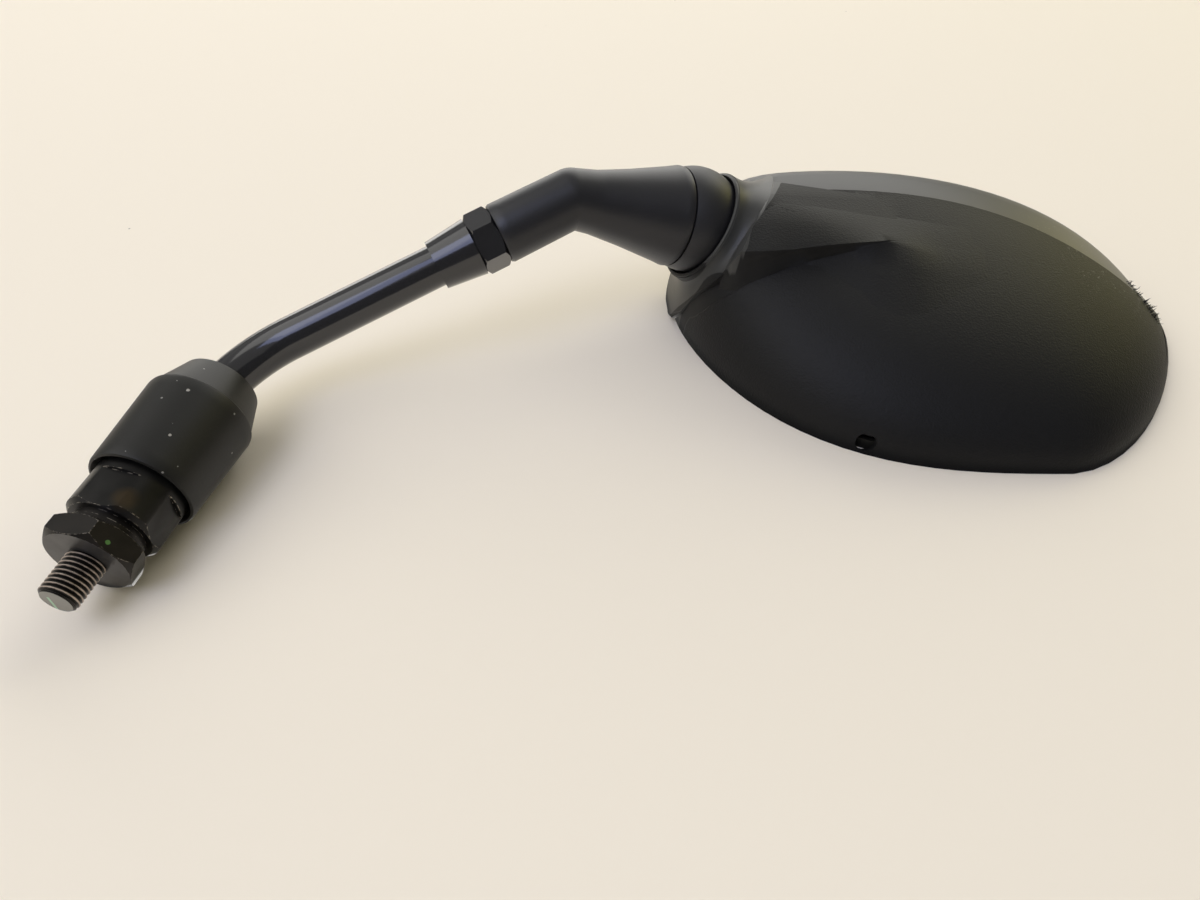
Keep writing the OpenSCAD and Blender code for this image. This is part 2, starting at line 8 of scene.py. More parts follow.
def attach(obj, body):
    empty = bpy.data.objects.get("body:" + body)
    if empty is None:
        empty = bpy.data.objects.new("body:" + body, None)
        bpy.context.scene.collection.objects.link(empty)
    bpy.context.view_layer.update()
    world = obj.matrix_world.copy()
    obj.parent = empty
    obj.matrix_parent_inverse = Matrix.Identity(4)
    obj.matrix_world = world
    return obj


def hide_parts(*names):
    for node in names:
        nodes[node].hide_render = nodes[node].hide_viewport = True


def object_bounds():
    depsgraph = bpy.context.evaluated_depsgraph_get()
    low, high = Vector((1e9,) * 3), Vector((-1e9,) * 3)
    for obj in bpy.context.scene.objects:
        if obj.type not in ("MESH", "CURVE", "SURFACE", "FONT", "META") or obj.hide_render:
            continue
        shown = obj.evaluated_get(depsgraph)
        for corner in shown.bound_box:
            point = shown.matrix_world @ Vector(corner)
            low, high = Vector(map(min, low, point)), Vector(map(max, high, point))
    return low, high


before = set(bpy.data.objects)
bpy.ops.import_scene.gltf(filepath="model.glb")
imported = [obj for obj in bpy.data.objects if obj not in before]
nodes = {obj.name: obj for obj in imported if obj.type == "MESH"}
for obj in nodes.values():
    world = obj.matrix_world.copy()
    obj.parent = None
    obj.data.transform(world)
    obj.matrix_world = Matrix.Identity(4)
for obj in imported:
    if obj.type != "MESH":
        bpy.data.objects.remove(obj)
cad_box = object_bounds()

# The view. The photograph was taken from above a table on which the mirror lies glass down, with a
# phone's wide lens: 850 pixels of focal length on a frame 1200 pixels wide.
scene = bpy.context.scene
scene.view_settings.view_transform = "Standard"
camera = bpy.data.objects.new("camera", bpy.data.cameras.new("camera"))
scene.collection.objects.link(camera)
view_right = Vector((0.9225, 0.3170, 0.2202))
view_down = Vector((-0.0670, 0.6934, -0.7175))
view_ahead = view_right.cross(-view_down).normalized() * -1
camera.matrix_world = (Matrix.Translation((0.1974, -0.1141, -0.0905))
    @ Matrix((view_right, -view_down, -view_ahead)).transposed().to_4x4())
camera.data.sensor_width = 36
camera.data.lens = 36 * 850 / 1200
camera.data.clip_start = 0.01
scene.camera = camera


# The table. A white lacquered board that the mirror lies on, with its glass down. It is seen only from its
# top side, so that the glass can be looked at from below.
def linear(code):
    """An sRGB hex value as the linear colour that a shader takes."""
    parts = [int(code[i:i + 2], 16) / 255 for i in (1, 3, 5)]
    return tuple(p / 12.92 if p <= 0.04045 else ((p + 0.055) / 1.055) ** 2.4 for p in parts) + (1,)


def add(material, kind, values=(), links=(), **settings):
    """A node of the material, with its settings, its sockets' values and the outputs linked to it."""
    node = material.node_tree.nodes.new("ShaderNode" + kind)
    for key, value in settings.items():
        setattr(node, key, value)
    for key, value in dict(values).items():
        node.inputs[key].default_value = value
    for key, source in dict(links).items():
        material.node_tree.links.new(source, node.inputs[key])
    return node


def finish(name, values):
    """A new material and its Principled shader, with these values on the shader's sockets."""
    material = bpy.data.materials.new(name)
    material.use_nodes = True
    shader = material.node_tree.nodes["Principled BSDF"]
    for key, value in values.items():
        shader.inputs[key].default_value = value
    return material, shader


def join(material, source, target):
    """A link from an output to a shader's socket."""
    material.node_tree.links.new(source, target)


table_up = Vector((0.312, -0.948, 0.057)).normalized()
table_at = Vector((0.11159, 0.05987, 0.15488)) - table_up * 0.0002
bpy.ops.object.select_all(action="DESELECT")
bpy.ops.mesh.primitive_plane_add(size=8, location=table_at, rotation=table_up.to_track_quat("Z", "Y").to_euler())
table = bpy.context.object
table.name = "table"

# White lacquer scatters light evenly and hardly mirrors. A few specks of dust, at most a millimetre wide,
# lie on it. It is clear from below, casts no shadow, and lets through rays that start within 6 mm of it.
white_lacquer, shader = finish("white_lacquer", {"Roughness": 0.7, "Specular IOR Level": 0.1})
place = add(white_lacquer, "TexCoord")
specks = add(white_lacquer, "TexVoronoi", {"Scale": 26.0}, {"Vector": place.outputs["Object"]})
dust = add(white_lacquer, "Math", {1: 0.012}, {0: specks.outputs["Distance"]}, operation="LESS_THAN")
tint = add(white_lacquer, "Mix", {"A": linear("#FAF1E0"), "B": linear("#B9B2A6")},
    {"Factor": dust.outputs["Value"]}, data_type="RGBA")
join(white_lacquer, tint.outputs["Result"], shader.inputs["Base Color"])
path = add(white_lacquer, "LightPath")
side = add(white_lacquer, "NewGeometry")
from_close = add(white_lacquer, "Math", {1: 0.006}, {0: path.outputs["Ray Length"]}, operation="LESS_THAN")
unseen = add(white_lacquer, "Math", links={0: side.outputs["Backfacing"], 1: path.outputs["Is Shadow Ray"]},
    operation="MAXIMUM")
passed = add(white_lacquer, "Math", links={0: from_close.outputs["Value"], 1: unseen.outputs["Value"]},
    operation="MAXIMUM")
clear = add(white_lacquer, "BsdfTransparent")
both = add(white_lacquer, "MixShader", links={0: passed.outputs["Value"], 1: shader.outputs["BSDF"],
    2: clear.outputs["BSDF"]})
join(white_lacquer, both.outputs["Shader"], white_lacquer.node_tree.nodes["Material Output"].inputs["Surface"])
table.data.materials.append(white_lacquer)

# The light. A wide window stands beyond the table's far edge, under a pale ceiling and in a pale room. A
# patch of blue sky and a yellow wall tint the head's back, and one soft lamp serves the glass.
world = bpy.data.worlds.new("pale_room")
scene.world = world
world.use_nodes = True
world.node_tree.nodes["Background"].inputs["Color"].default_value = linear("#E9E7E2")
world.node_tree.nodes["Background"].inputs["Strength"].default_value = 0.15
object_middle = (cad_box[0] + cad_box[1]) / 2
table_far = (-view_down - table_up * (-view_down).dot(table_up)).normalized()
table_right = table_far.cross(table_up).normalized()
lamp_colours = {"blue_sky": "#BECAFF", "yellow_wall": "#F2E67E"}
for name, out, power, width, height in (
    ("window", table_up * 1.05 + table_far * 2.5 + table_right * 0.1, 69, 5.0, 2.0),
    ("ceiling", table_up * 2.4 - table_right * 0.6, 27, 6.0, 5.0),
    ("room_left", table_up * 2.0 - table_far * 0.4 - table_right * 1.9, 39, 3.0, 3.4),
    ("blue_sky", table_up * 2.1 - table_far * 1.25 - table_right * 0.85, 15, 1.4, 1.4),
    ("yellow_wall", table_up * 0.85 + table_far * 1.55 + table_right * 1.9, 9, 1.5, 1.2),
    ("glass_side", -table_up * 1.2 + table_far * 0.5, 10, 1.4, 1.0),
):
    lamp = bpy.data.objects.new(name, bpy.data.lights.new(name, "AREA"))
    scene.collection.objects.link(lamp)
    lamp.data.shape = "RECTANGLE"
    lamp.data.size, lamp.data.size_y = width, height
    lamp.data.energy = power
    lamp.data.color = linear(lamp_colours.get(name, "#FFFDF8"))[:3]
    lamp.location = object_middle + out
    lamp.rotation_euler = out.to_track_quat("Z", "Y").to_euler()


# The adapter. A turned steel body with an M10 x 1.25 stud on its end and four milled wrench flats, all
# blackened. Its finish is chipped on the edges of the flats, and the thread's crests are rubbed bare.
def select_only(piece):
    """The piece alone is selected and active, as every operator needs it."""
    bpy.ops.object.select_all(action="DESELECT")
    piece.select_set(True)
    bpy.context.view_layer.objects.active = piece


def welded(node, name, angle=30):
    """A copy of a node's triangles, joined into one skin, with its curves smoothed."""
    piece = bpy.data.objects.new(name, nodes[node].data.copy())
    scene.collection.objects.link(piece)
    select_only(piece)
    bpy.ops.object.mode_set(mode="EDIT")
    bpy.ops.mesh.select_all(action="SELECT")
    bpy.ops.mesh.remove_doubles(threshold=2e-6)
    bpy.ops.object.mode_set(mode="OBJECT")
    bpy.ops.mesh.customdata_custom_splitnormals_clear()
    bpy.ops.object.shade_smooth_by_angle(angle=math.radians(angle))
    return piece


def wear(material, scale, reach):
    """Where edges have lost their finish: 1 on an edge's rubbed spots, 0 elsewhere. Sizes in metres."""
    place = add(material, "TexCoord")
    rounded = add(material, "Bevel", {"Radius": reach}, samples=8)
    true = add(material, "NewGeometry")
    turn = add(material, "VectorMath", links={0: rounded.outputs["Normal"], 1: true.outputs["Normal"]},
        operation="DOT_PRODUCT")
    edge = add(material, "MapRange", {"From Min": 0.995, "From Max": 0.93, "To Min": 0.0, "To Max": 1.0},
        {"Value": turn.outputs["Value"]})
    spots = add(material, "TexNoise", {"Scale": 1 / scale, "Detail": 6.0, "Roughness": 0.6},
        {"Vector": place.outputs["Object"]})
    chance = add(material, "MapRange", {"From Min": 0.5, "From Max": 0.58, "To Min": 0.0, "To Max": 1.0},
        {"Value": spots.outputs["Fac"]})
    return add(material, "Math", links={0: edge.outputs["Result"], 1: chance.outputs["Result"]},
        operation="MULTIPLY").outputs["Value"]


def spot(material, at, reach, soft=0.3):
    """1 within a reach of a place on the object, 0 past it, in metres."""
    place = add(material, "TexCoord")
    away = add(material, "VectorMath", {1: at}, {0: place.outputs["Object"]}, operation="DISTANCE")
    ragged = add(material, "TexNoise", {"Scale": 0.6 / reach, "Detail": 3.0}, {"Vector": place.outputs["Object"]})
    total = add(material, "Math", {1: reach}, {0: ragged.outputs["Fac"], 2: away.outputs["Value"]},
        operation="MULTIPLY_ADD")
    return add(material, "MapRange", {"From Min": reach * (1.5 + soft), "From Max": reach * 1.5, "To Min": 0.0,
        "To Max": 1.0}, {"Value": total.outputs["Value"]}).outputs["Result"]


def tinted(material, below, colour, mask):
    """The colour below with another laid over it where the mask says."""
    layer = add(material, "Mix", {"B": linear(colour)}, {"Factor": mask, "A": below}, data_type="RGBA")
    return layer.outputs["Result"]


def coat(piece, material):
    """The piece in one material all over."""
    piece.data.materials.clear()
    piece.data.materials.append(material)


def oxide(name, dark, light, bare_colour, bare_mask):
    """Black oxide on steel: a dark, half metallic skin, oily, cloudy over about 6 mm, and bare where the
    mask says. The material, its shader, and the colour that is still to be linked."""
    material, shader = finish(name, {"Metallic": 0.55, "Roughness": 0.34})
    place = add(material, "TexCoord")
    haze = add(material, "TexNoise", {"Scale": 160.0, "Detail": 4.0}, {"Vector": place.outputs["Object"]})
    skin = add(material, "Mix", {"A": linear(dark), "B": linear(light)}, {"Factor": haze.outputs["Fac"]},
        data_type="RGBA")
    rough = add(material, "MapRange", {"From Min": 0.3, "From Max": 0.7, "To Min": 0.28, "To Max": 0.44},
        {"Value": haze.outputs["Fac"]})
    join(material, rough.outputs["Result"], shader.inputs["Roughness"])
    return material, shader, tinted(material, skin.outputs["Result"], bare_colour, bare_mask(material))


black_oxide, shader, colour = oxide("black_oxide_steel", "#151515", "#211F1C", "#B3AA9A",
    lambda material: wear(material, 0.0012, 0.0004))
straw_tint = spot(black_oxide, (0.0093, -0.0078, 0.0135), 0.0015, 1.6)
colour = tinted(black_oxide, colour, "#352A17", straw_tint)
join(black_oxide, colour, shader.inputs["Base Color"])


# The stud. An M10 x 1.25 thread, rolled on the adapter's end, which stands 11.8 mm free. Its black skin is
# rubbed off the crests, and its end face is bright, with a bar of pale green paint that runs to the rim.
stud_r, root_r, pitch, stud_free, chamfer = 0.00495, 0.00428, 0.00125, 0.0118, 0.0009


def crests(material):
    """1 on the thread's rubbed crests, by the distance from the stud's axis, broken up by wear."""
    place = add(material, "TexCoord")
    flat = add(material, "VectorMath", {1: (1, 1, 0)}, {0: place.outputs["Object"]}, operation="MULTIPLY")
    out = add(material, "VectorMath", links={0: flat.outputs["Vector"]}, operation="LENGTH")
    worn = add(material, "TexNoise", {"Scale": 700.0, "Detail": 4.0}, {"Vector": place.outputs["Object"]})
    reach = add(material, "Math", {1: 0.0004, 2: -0.0002}, {0: worn.outputs["Fac"]}, operation="MULTIPLY_ADD")
    total = add(material, "Math", links={0: out.outputs["Value"], 1: reach.outputs["Value"]}, operation="ADD")
    return add(material, "MapRange", {"From Min": 0.00472, "From Max": 0.00492},
        {"Value": total.outputs["Value"]}).outputs["Result"]


thread_black, shader, colour = oxide("worn_thread", "#141312", "#242019", "#B9AA9C", crests)
place = add(thread_black, "TexCoord")
height = add(thread_black, "SeparateXYZ", links={"Vector": place.outputs["Object"]})
end_face = add(thread_black, "Math", {1: 0.00004 - stud_free}, {0: height.outputs["Z"]}, operation="LESS_THAN")
colour = tinted(thread_black, colour, "#8B8A83", end_face.outputs["Value"])
across, lengthways = (add(thread_black, "VectorMath", {1: way}, {0: place.outputs["Object"]},
    operation="DOT_PRODUCT") for way in ((0.936, 0.35, 0), (-0.35, 0.936, 0)))
narrow = add(thread_black, "Math", {1: -0.00152, 2: 0.00036}, {0: across.outputs["Value"]}, operation="COMPARE")
outer = add(thread_black, "Math", {1: -0.0014}, {0: lengthways.outputs["Value"]}, operation="GREATER_THAN")
bar = add(thread_black, "Math", links={0: narrow.outputs["Value"], 1: outer.outputs["Value"]},
    operation="MULTIPLY")
painted = add(thread_black, "Math", links={0: end_face.outputs["Value"], 1: bar.outputs["Value"]},
    operation="MULTIPLY")
colour = tinted(thread_black, colour, "#A9CDB0", painted.outputs["Value"])
join(thread_black, colour, shader.inputs["Base Color"])

# One pitch of the thread's outline is wound up the stud, cut level at both ends, and chamfered by a cone.
windings, steps_round, spare = 13, 64, 0.0006
bpy.ops.object.select_all(action="DESELECT")
bpy.ops.mesh.primitive_plane_add(size=0.001, location=(0, 0, 0))
stud = bpy.context.object
stud.name = "stud_thread"
bpy.ops.object.mode_set(mode="EDIT")
bpy.ops.mesh.select_all(action="SELECT")
bpy.ops.mesh.merge(type="CENTER")
bpy.ops.transform.translate(value=(root_r, 0, -stud_free - 1.5 * pitch))
for step in ((0, 0.13), (stud_r - root_r, 0.36), (0, 0.14), (root_r - stud_r, 0.37)):
    bpy.ops.mesh.extrude_region_move(TRANSFORM_OT_translate={"value": (step[0], 0, step[1] * pitch)})
bpy.ops.object.mode_set(mode="OBJECT")
turns = stud.modifiers.new("turns", "SCREW")
turns.screw_offset, turns.iterations = pitch, windings
turns.steps, turns.render_steps = steps_round, steps_round
turns.use_merge_vertices, turns.merge_threshold = True, 1e-6
select_only(stud)
bpy.ops.object.modifier_apply(modifier="turns")
bpy.ops.object.mode_set(mode="EDIT")
for level, inner in ((-stud_free - spare, True), (spare, False)):
    bpy.ops.mesh.select_all(action="SELECT")
    bpy.ops.mesh.bisect(plane_co=(0, 0, level), plane_no=(0, 0, 1), use_fill=True, clear_inner=inner,
        clear_outer=not inner)
bpy.ops.mesh.select_all(action="SELECT")
bpy.ops.mesh.remove_doubles(threshold=1e-7)
bpy.ops.mesh.normals_make_consistent(inside=False)
bpy.ops.object.mode_set(mode="OBJECT")
cone = 0.02
bpy.ops.mesh.primitive_cone_add(vertices=96, radius1=stud_r - chamfer, radius2=stud_r - chamfer + cone,
    depth=cone, location=(0, 0, cone / 2 - stud_free))
turned = bpy.context.object
cut = stud.modifiers.new("chamfer", "BOOLEAN")
cut.operation, cut.object, cut.solver = "INTERSECT", turned, "EXACT"
select_only(stud)
bpy.ops.object.modifier_apply(modifier="chamfer")
bpy.data.objects.remove(turned)
bpy.ops.object.shade_smooth_by_angle(angle=math.radians(40))

adapter = welded("threaded_adapter", "adapter_body")
bpy.ops.object.mode_set(mode="EDIT")
bpy.ops.mesh.select_all(action="SELECT")
bpy.ops.mesh.bisect(plane_co=(0, 0, 0.0002), plane_no=(0, 0, 1), use_fill=True, clear_inner=True)
bpy.ops.object.mode_set(mode="OBJECT")
for piece, material in ((stud, thread_black), (adapter, black_oxide)):
    coat(piece, material)
    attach(piece, "adapter")
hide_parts("threaded_adapter")

# The jam nut and its two washers. Blackened steel, pressed and tapped, with both faces chamfered. The
# nut's face is rubbed brighter than its sides, and a fleck of green thread paint sits at one corner.
nut_black, shader, colour = oxide("rubbed_black_nut", "#171513", "#241F1A", "#9C958A",
    lambda material: wear(material, 0.001, 0.0003))
colour = tinted(nut_black, colour, "#5C8A4E", spot(nut_black, (0.01012, -0.0046, 0.00205), 0.0005, 0.3))
place = add(nut_black, "TexCoord")
facing = add(nut_black, "SeparateXYZ", links={"Vector": place.outputs["Normal"]})
end_face = add(nut_black, "Math", {1: -0.9}, {0: facing.outputs["Z"]}, operation="LESS_THAN")
colour = tinted(nut_black, colour, "#4A4947", end_face.outputs["Value"])
join(nut_black, colour, shader.inputs["Base Color"])
for node, body in (("jam_nut", "jam_nut"), ("plain_washer", "adapter"), ("spring_washer", "adapter")):
    piece = welded(node, node + "_turned")
    coat(piece, nut_black)
    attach(piece, body)
    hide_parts(node)

# The boot. Soft black rubber, moulded in one piece and stretched over the adapter. It is dull and faintly
# brown, with some lint, at most 0.6 mm wide, and two larger grains of dust.
rubber, shader = finish("moulded_rubber", {"Roughness": 0.46, "Specular IOR Level": 0.38})
place = add(rubber, "TexCoord")
bloom = add(rubber, "TexNoise", {"Scale": 90.0, "Detail": 5.0}, {"Vector": place.outputs["Object"]})
tint = add(rubber, "Mix", {"A": linear("#121210"), "B": linear("#1C1B17")}, {"Factor": bloom.outputs["Fac"]},
    data_type="RGBA")
lint = add(rubber, "TexVoronoi", {"Scale": 170.0}, {"Vector": place.outputs["Object"]})
speck = add(rubber, "Math", {1: 0.05}, {0: lint.outputs["Distance"]}, operation="LESS_THAN")
colour = tinted(rubber, tint.outputs["Result"], "#8C8A84", speck.outputs["Value"])
for at, reach in (((0.00921, -0.01239, 0.04788), 0.0004), ((0.01124, -0.00963, 0.03326), 0.00032)):
    colour = tinted(rubber, colour, "#A9A59C", spot(rubber, at, reach))
join(rubber, colour, shader.inputs["Base Color"])
fine = add(rubber, "TexNoise", {"Scale": 1400.0, "Detail": 3.0}, {"Vector": place.outputs["Object"]})
relief = add(rubber, "Bump", {"Strength": 0.12, "Distance": 0.0002}, {"Height": fine.outputs["Fac"]})
join(rubber, relief.outputs["Normal"], shader.inputs["Normal"])
boot = welded("rubber_boot", "dust_boot", 25)
coat(boot, rubber)
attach(boot, "stem")
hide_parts("rubber_boot")

# The stem. A drawn steel tube, bent once, with a tapered collar and a hexagon lock nut at its upper
# end, all in gloss black enamel. The enamel mirrors sharply, with a faint ripple about 2.5 mm wide.
enamel, shader = finish("gloss_black_enamel", {"Roughness": 0.16, "Coat Weight": 0.6, "Coat Roughness": 0.08})
place = add(enamel, "TexCoord")
cloud = add(enamel, "TexNoise", {"Scale": 60.0, "Detail": 3.0}, {"Vector": place.outputs["Object"]})
tint = add(enamel, "Mix", {"A": linear("#1B1B1D"), "B": linear("#252528")}, {"Factor": cloud.outputs["Fac"]},
    data_type="RGBA")
join(enamel, tint.outputs["Result"], shader.inputs["Base Color"])
peel = add(enamel, "TexNoise", {"Scale": 420.0, "Detail": 2.0}, {"Vector": place.outputs["Object"]})
relief = add(enamel, "Bump", {"Strength": 0.05, "Distance": 0.0003}, {"Height": peel.outputs["Fac"]})
join(enamel, relief.outputs["Normal"], shader.inputs["Normal"])
for node, body in (("stem_tube", "stem"), ("collar", "stem"), ("lock_nut", "upper_nut")):
    piece = welded(node, node + "_enamelled")
    coat(piece, enamel)
    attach(piece, body)
    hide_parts(node)

# The elbow. Cast aluminium in black powder coat, with the nylon ball that the head turns on. The coat has
# a soft sheen over half-millimetre grit, and the ball is a little duller.
powder, shader = finish("satin_powder_coat", {"Roughness": 0.4, "Specular IOR Level": 0.5})
place = add(powder, "TexCoord")
cloud = add(powder, "TexNoise", {"Scale": 70.0, "Detail": 4.0}, {"Vector": place.outputs["Object"]})
tint = add(powder, "Mix", {"A": linear("#1B1B1E"), "B": linear("#252528")}, {"Factor": cloud.outputs["Fac"]},
    data_type="RGBA")
join(powder, tint.outputs["Result"], shader.inputs["Base Color"])
grit = add(powder, "TexNoise", {"Scale": 1800.0, "Detail": 2.0}, {"Vector": place.outputs["Object"]})
relief = add(powder, "Bump", {"Strength": 0.1, "Distance": 0.0002}, {"Height": grit.outputs["Fac"]})
join(powder, relief.outputs["Normal"], shader.inputs["Normal"])
ball_finish = powder.copy()
ball_finish.name = "matt_moulded_nylon"
ball_finish.node_tree.nodes["Principled BSDF"].inputs["Roughness"].default_value = 0.48
for node, name, material, slot in (("elbow", "elbow_casting", powder, "satin_black_paint"),
        ("pivot_ball", "ball_moulding", ball_finish, "ball_plastic")):
    piece = welded(node, name)
    coat(piece, material)
    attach(piece, "elbow")
    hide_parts(node)

# The housing. One moulding of black ABS: leather grain on its back, a smooth band along the top and a
# smooth flared neck round the ball, with a smooth flank under the boss that carries it.
head_along = Vector((0.9225, 0.3170, 0.2202))
head_deep = Vector((-0.3120, 0.9480, -0.0570))
head_up = Vector((-0.2270, -0.0160, 0.9740))
ball = Vector((0.123166, 0.024702, 0.156999))

# Black ABS as it comes from the mould: dull where it is grained and on the flank, with more sheen where the
# mould was polished, and painted a lighter grey there as a painted sheen. Places on it are measured from the ball, in
# mm along the head and up it.
moulded, shader = finish("grained_abs", {"Roughness": 0.4, "Specular IOR Level": 0.28})
place = add(moulded, "TexCoord")
from_ball = add(moulded, "VectorMath", {1: ball}, {0: place.outputs["Object"]}, operation="SUBTRACT")
along, up = (add(moulded, "VectorMath", {1: way}, {0: from_ball.outputs["Vector"]}, operation="DOT_PRODUCT")
    for way in (head_along, head_up))
first_x, last_x, first_z, last_z = -10, 170, -90, 40
share = add(moulded, "MapRange", {"From Min": first_x / 1000, "From Max": last_x / 1000},
    {"Value": along.outputs["Value"]})
level = add(moulded, "MapRange", {"From Min": first_z / 1000, "From Max": last_z / 1000},
    {"Value": up.outputs["Value"]})


def above(points):
    """1 above a line over the head's width, given in mm from the ball, and 0 below it."""
    line = add(moulded, "FloatCurve", links={"Value": share.outputs["Result"]})
    curve = line.mapping.curves[0]
    spots = [((x - first_x) / (last_x - first_x), (z - first_z) / (last_z - first_z)) for x, z in points]
    curve.points[0].location, curve.points[1].location = (0, spots[0][1]), (1, spots[-1][1])
    for x, z in spots[1:-1]:
        curve.points.new(x, z)
    for point in curve.points:
        point.handle_type = "AUTO_CLAMPED"
    line.mapping.update()
    over = add(moulded, "Math", links={0: level.outputs["Result"], 1: line.outputs["Value"]},
        operation="SUBTRACT")
    blur = 0.1 / (last_z - first_z)
    return add(moulded, "MapRange", {"From Min": -blur, "From Max": blur},
        {"Value": over.outputs["Value"]}).outputs["Result"]


def ridge_line(x):
    """Height of the back's ridge over the ball's level, at a place along the head, in mm."""
    crown, crown_height, inner_run, outer_run, outer_end, outer_drop = 42, 9.9, 45.6, 126, -9.7, 19.6
    if x < crown:
        return crown_height * max(0, 1 - ((x - crown) / inner_run) ** 2)
    return outer_end + outer_drop * max(0, 1 - ((x - crown) / outer_run) ** 3.43) ** 2.29


# The flank under the boss lies between its foot and its top. All that lies over its foot is smooth, but for
# the grained field between the flank and the band.
flank_foot = above([(-10, 6), (-6, -1), (-0.1, -15.3), (5.3, -22.8), (13.3, -26.45), (21.6, -26.5), (30.6, -24.75),
    (40.2, -23.15), (48.5, -22.5), (54, -21.85), (60, -20.65), (66, -19.4), (72, -18), (170, -18)])
flank_edge = [(13.4, -25.45), (21.2, -25.75), (29.3, -24.45), (41.2, -22.9), (49.2, -22.1), (54, -21.5),
    (60, -20.3), (66, -19.4), (72, -18), (170, -18)]
flank_top = above([(-10, 4), (-4.8, -3.8), (1.7, -15.3), (8.9, -20.7)] + flank_edge)
flank_head = above([(-10, 40), (12.9, 40)] + flank_edge)
band_foot = above([(-10, -26), (13.2, -26), (17.5, -17), (21.2, -11), (25.2, -4.1), (28.5, 4), (31, 9.3)]
    + [(x, ridge_line(x)) for x in (36, 50, 65, 80, 92, 104, 114, 124, 134, 142, 150, 157, 163)]
    + [(170, -9.7)])
not_band = add(moulded, "Math", {0: 1.0}, {1: band_foot}, operation="SUBTRACT")
upper = add(moulded, "Math", links={0: flank_head, 1: not_band.outputs["Value"]}, operation="MULTIPLY")
not_upper = add(moulded, "Math", {0: 1.0}, {1: upper.outputs["Value"]}, operation="SUBTRACT")
smooth = add(moulded, "Math", links={0: flank_foot, 1: not_upper.outputs["Value"]}, operation="MULTIPLY")
grained = add(moulded, "Math", {0: 1.0}, {1: smooth.outputs["Value"]}, operation="SUBTRACT")
under_top = add(moulded, "Math", {0: 1.0}, {1: flank_top}, operation="SUBTRACT")
flank = add(moulded, "Math", links={0: flank_foot, 1: under_top.outputs["Value"]}, operation="MULTIPLY")

# Its grain is a leather pattern of half-millimetre cells, up to 0.1 mm deep, which stops in a fine step at
# the smooth parts. Fine scratches run over the band's outer end.
cells = add(moulded, "TexVoronoi", {"Scale": 1900.0}, {"Vector": place.outputs["Object"]}, feature="SMOOTH_F1")
wander = add(moulded, "TexNoise", {"Scale": 1300.0, "Detail": 2.0}, {"Vector": place.outputs["Object"]})
leather = add(moulded, "Math", {1: 2.0}, {0: cells.outputs["Distance"], 2: wander.outputs["Fac"]},
    operation="MULTIPLY_ADD")
depth = add(moulded, "Math", {1: 0.05, 2: 0.03}, {0: leather.outputs["Value"]}, operation="MULTIPLY_ADD")
relief_height = add(moulded, "Math", links={0: depth.outputs["Value"], 1: grained.outputs["Value"]},
    operation="MULTIPLY")
relief = add(moulded, "Bump", {"Strength": 1.0, "Distance": 0.001}, {"Height": relief_height.outputs["Value"]})
join(moulded, relief.outputs["Normal"], shader.inputs["Normal"])
cloud = add(moulded, "TexNoise", {"Scale": 25.0, "Detail": 3.0}, {"Vector": place.outputs["Object"]})
tint = add(moulded, "Mix", {"A": linear("#0B0B0C"), "B": linear("#121212")}, {"Factor": cloud.outputs["Fac"]},
    data_type="RGBA")
slanted = add(moulded, "VectorRotate", {"Axis": (0.2, 0.5, 0.8), "Angle": 0.9}, {"Vector": place.outputs["Object"]})
drawn = add(moulded, "Mapping", {"Scale": (40.0, 1400.0, 1400.0)}, {"Vector": slanted.outputs["Vector"]})
hairs = add(moulded, "TexNoise", {"Scale": 1.0, "Detail": 2.0}, {"Vector": drawn.outputs["Vector"]})
hair = add(moulded, "MapRange", {"From Min": 0.68, "From Max": 0.72}, {"Value": hairs.outputs["Fac"]})
rubbed = spot(moulded, ball + head_along * 0.149 + head_up * 0.006 + head_deep * 0.0195, 0.028, 0.5)
scratch = add(moulded, "Math", links={0: hair.outputs["Result"], 1: rubbed}, operation="MULTIPLY")
# Painted sheen: the smooth band and neck get a lighter grey, #3B3B39, that stands in for the window's reflection on
# them; the plastic itself is black there too.
polished_painted_sheen = add(moulded, "Math", links={0: smooth.outputs["Value"], 1: flank.outputs["Value"]},
    operation="SUBTRACT", use_clamp=True)
colour = tinted(moulded, tint.outputs["Result"], "#3B3B39", polished_painted_sheen.outputs["Value"])
colour = tinted(moulded, colour, "#77756F", scratch.outputs["Value"])
join(moulded, colour, shader.inputs["Base Color"])
dull = add(moulded, "Math", links={0: grained.outputs["Value"], 1: flank.outputs["Value"]}, operation="MAXIMUM")
gloss = add(moulded, "MapRange", {"To Min": 0.38, "To Max": 0.58}, {"Value": dull.outputs["Value"]})
join(moulded, gloss.outputs["Result"], shader.inputs["Roughness"])

# The back's ridge is a crisp edge in the moulding.
housing = welded("housing", "housing_moulding", 24)
corners = housing.data.vertices
for edge in housing.data.edges:
    ends = [(corners[i].co - ball) * 1000 for i in edge.vertices]
    if all(abs(end.dot(head_up) - ridge_line(end.dot(head_along))) < 0.1 for end in ends):
        edge.use_edge_sharp = True
coat(housing, moulded)
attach(housing, "head")
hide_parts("housing")

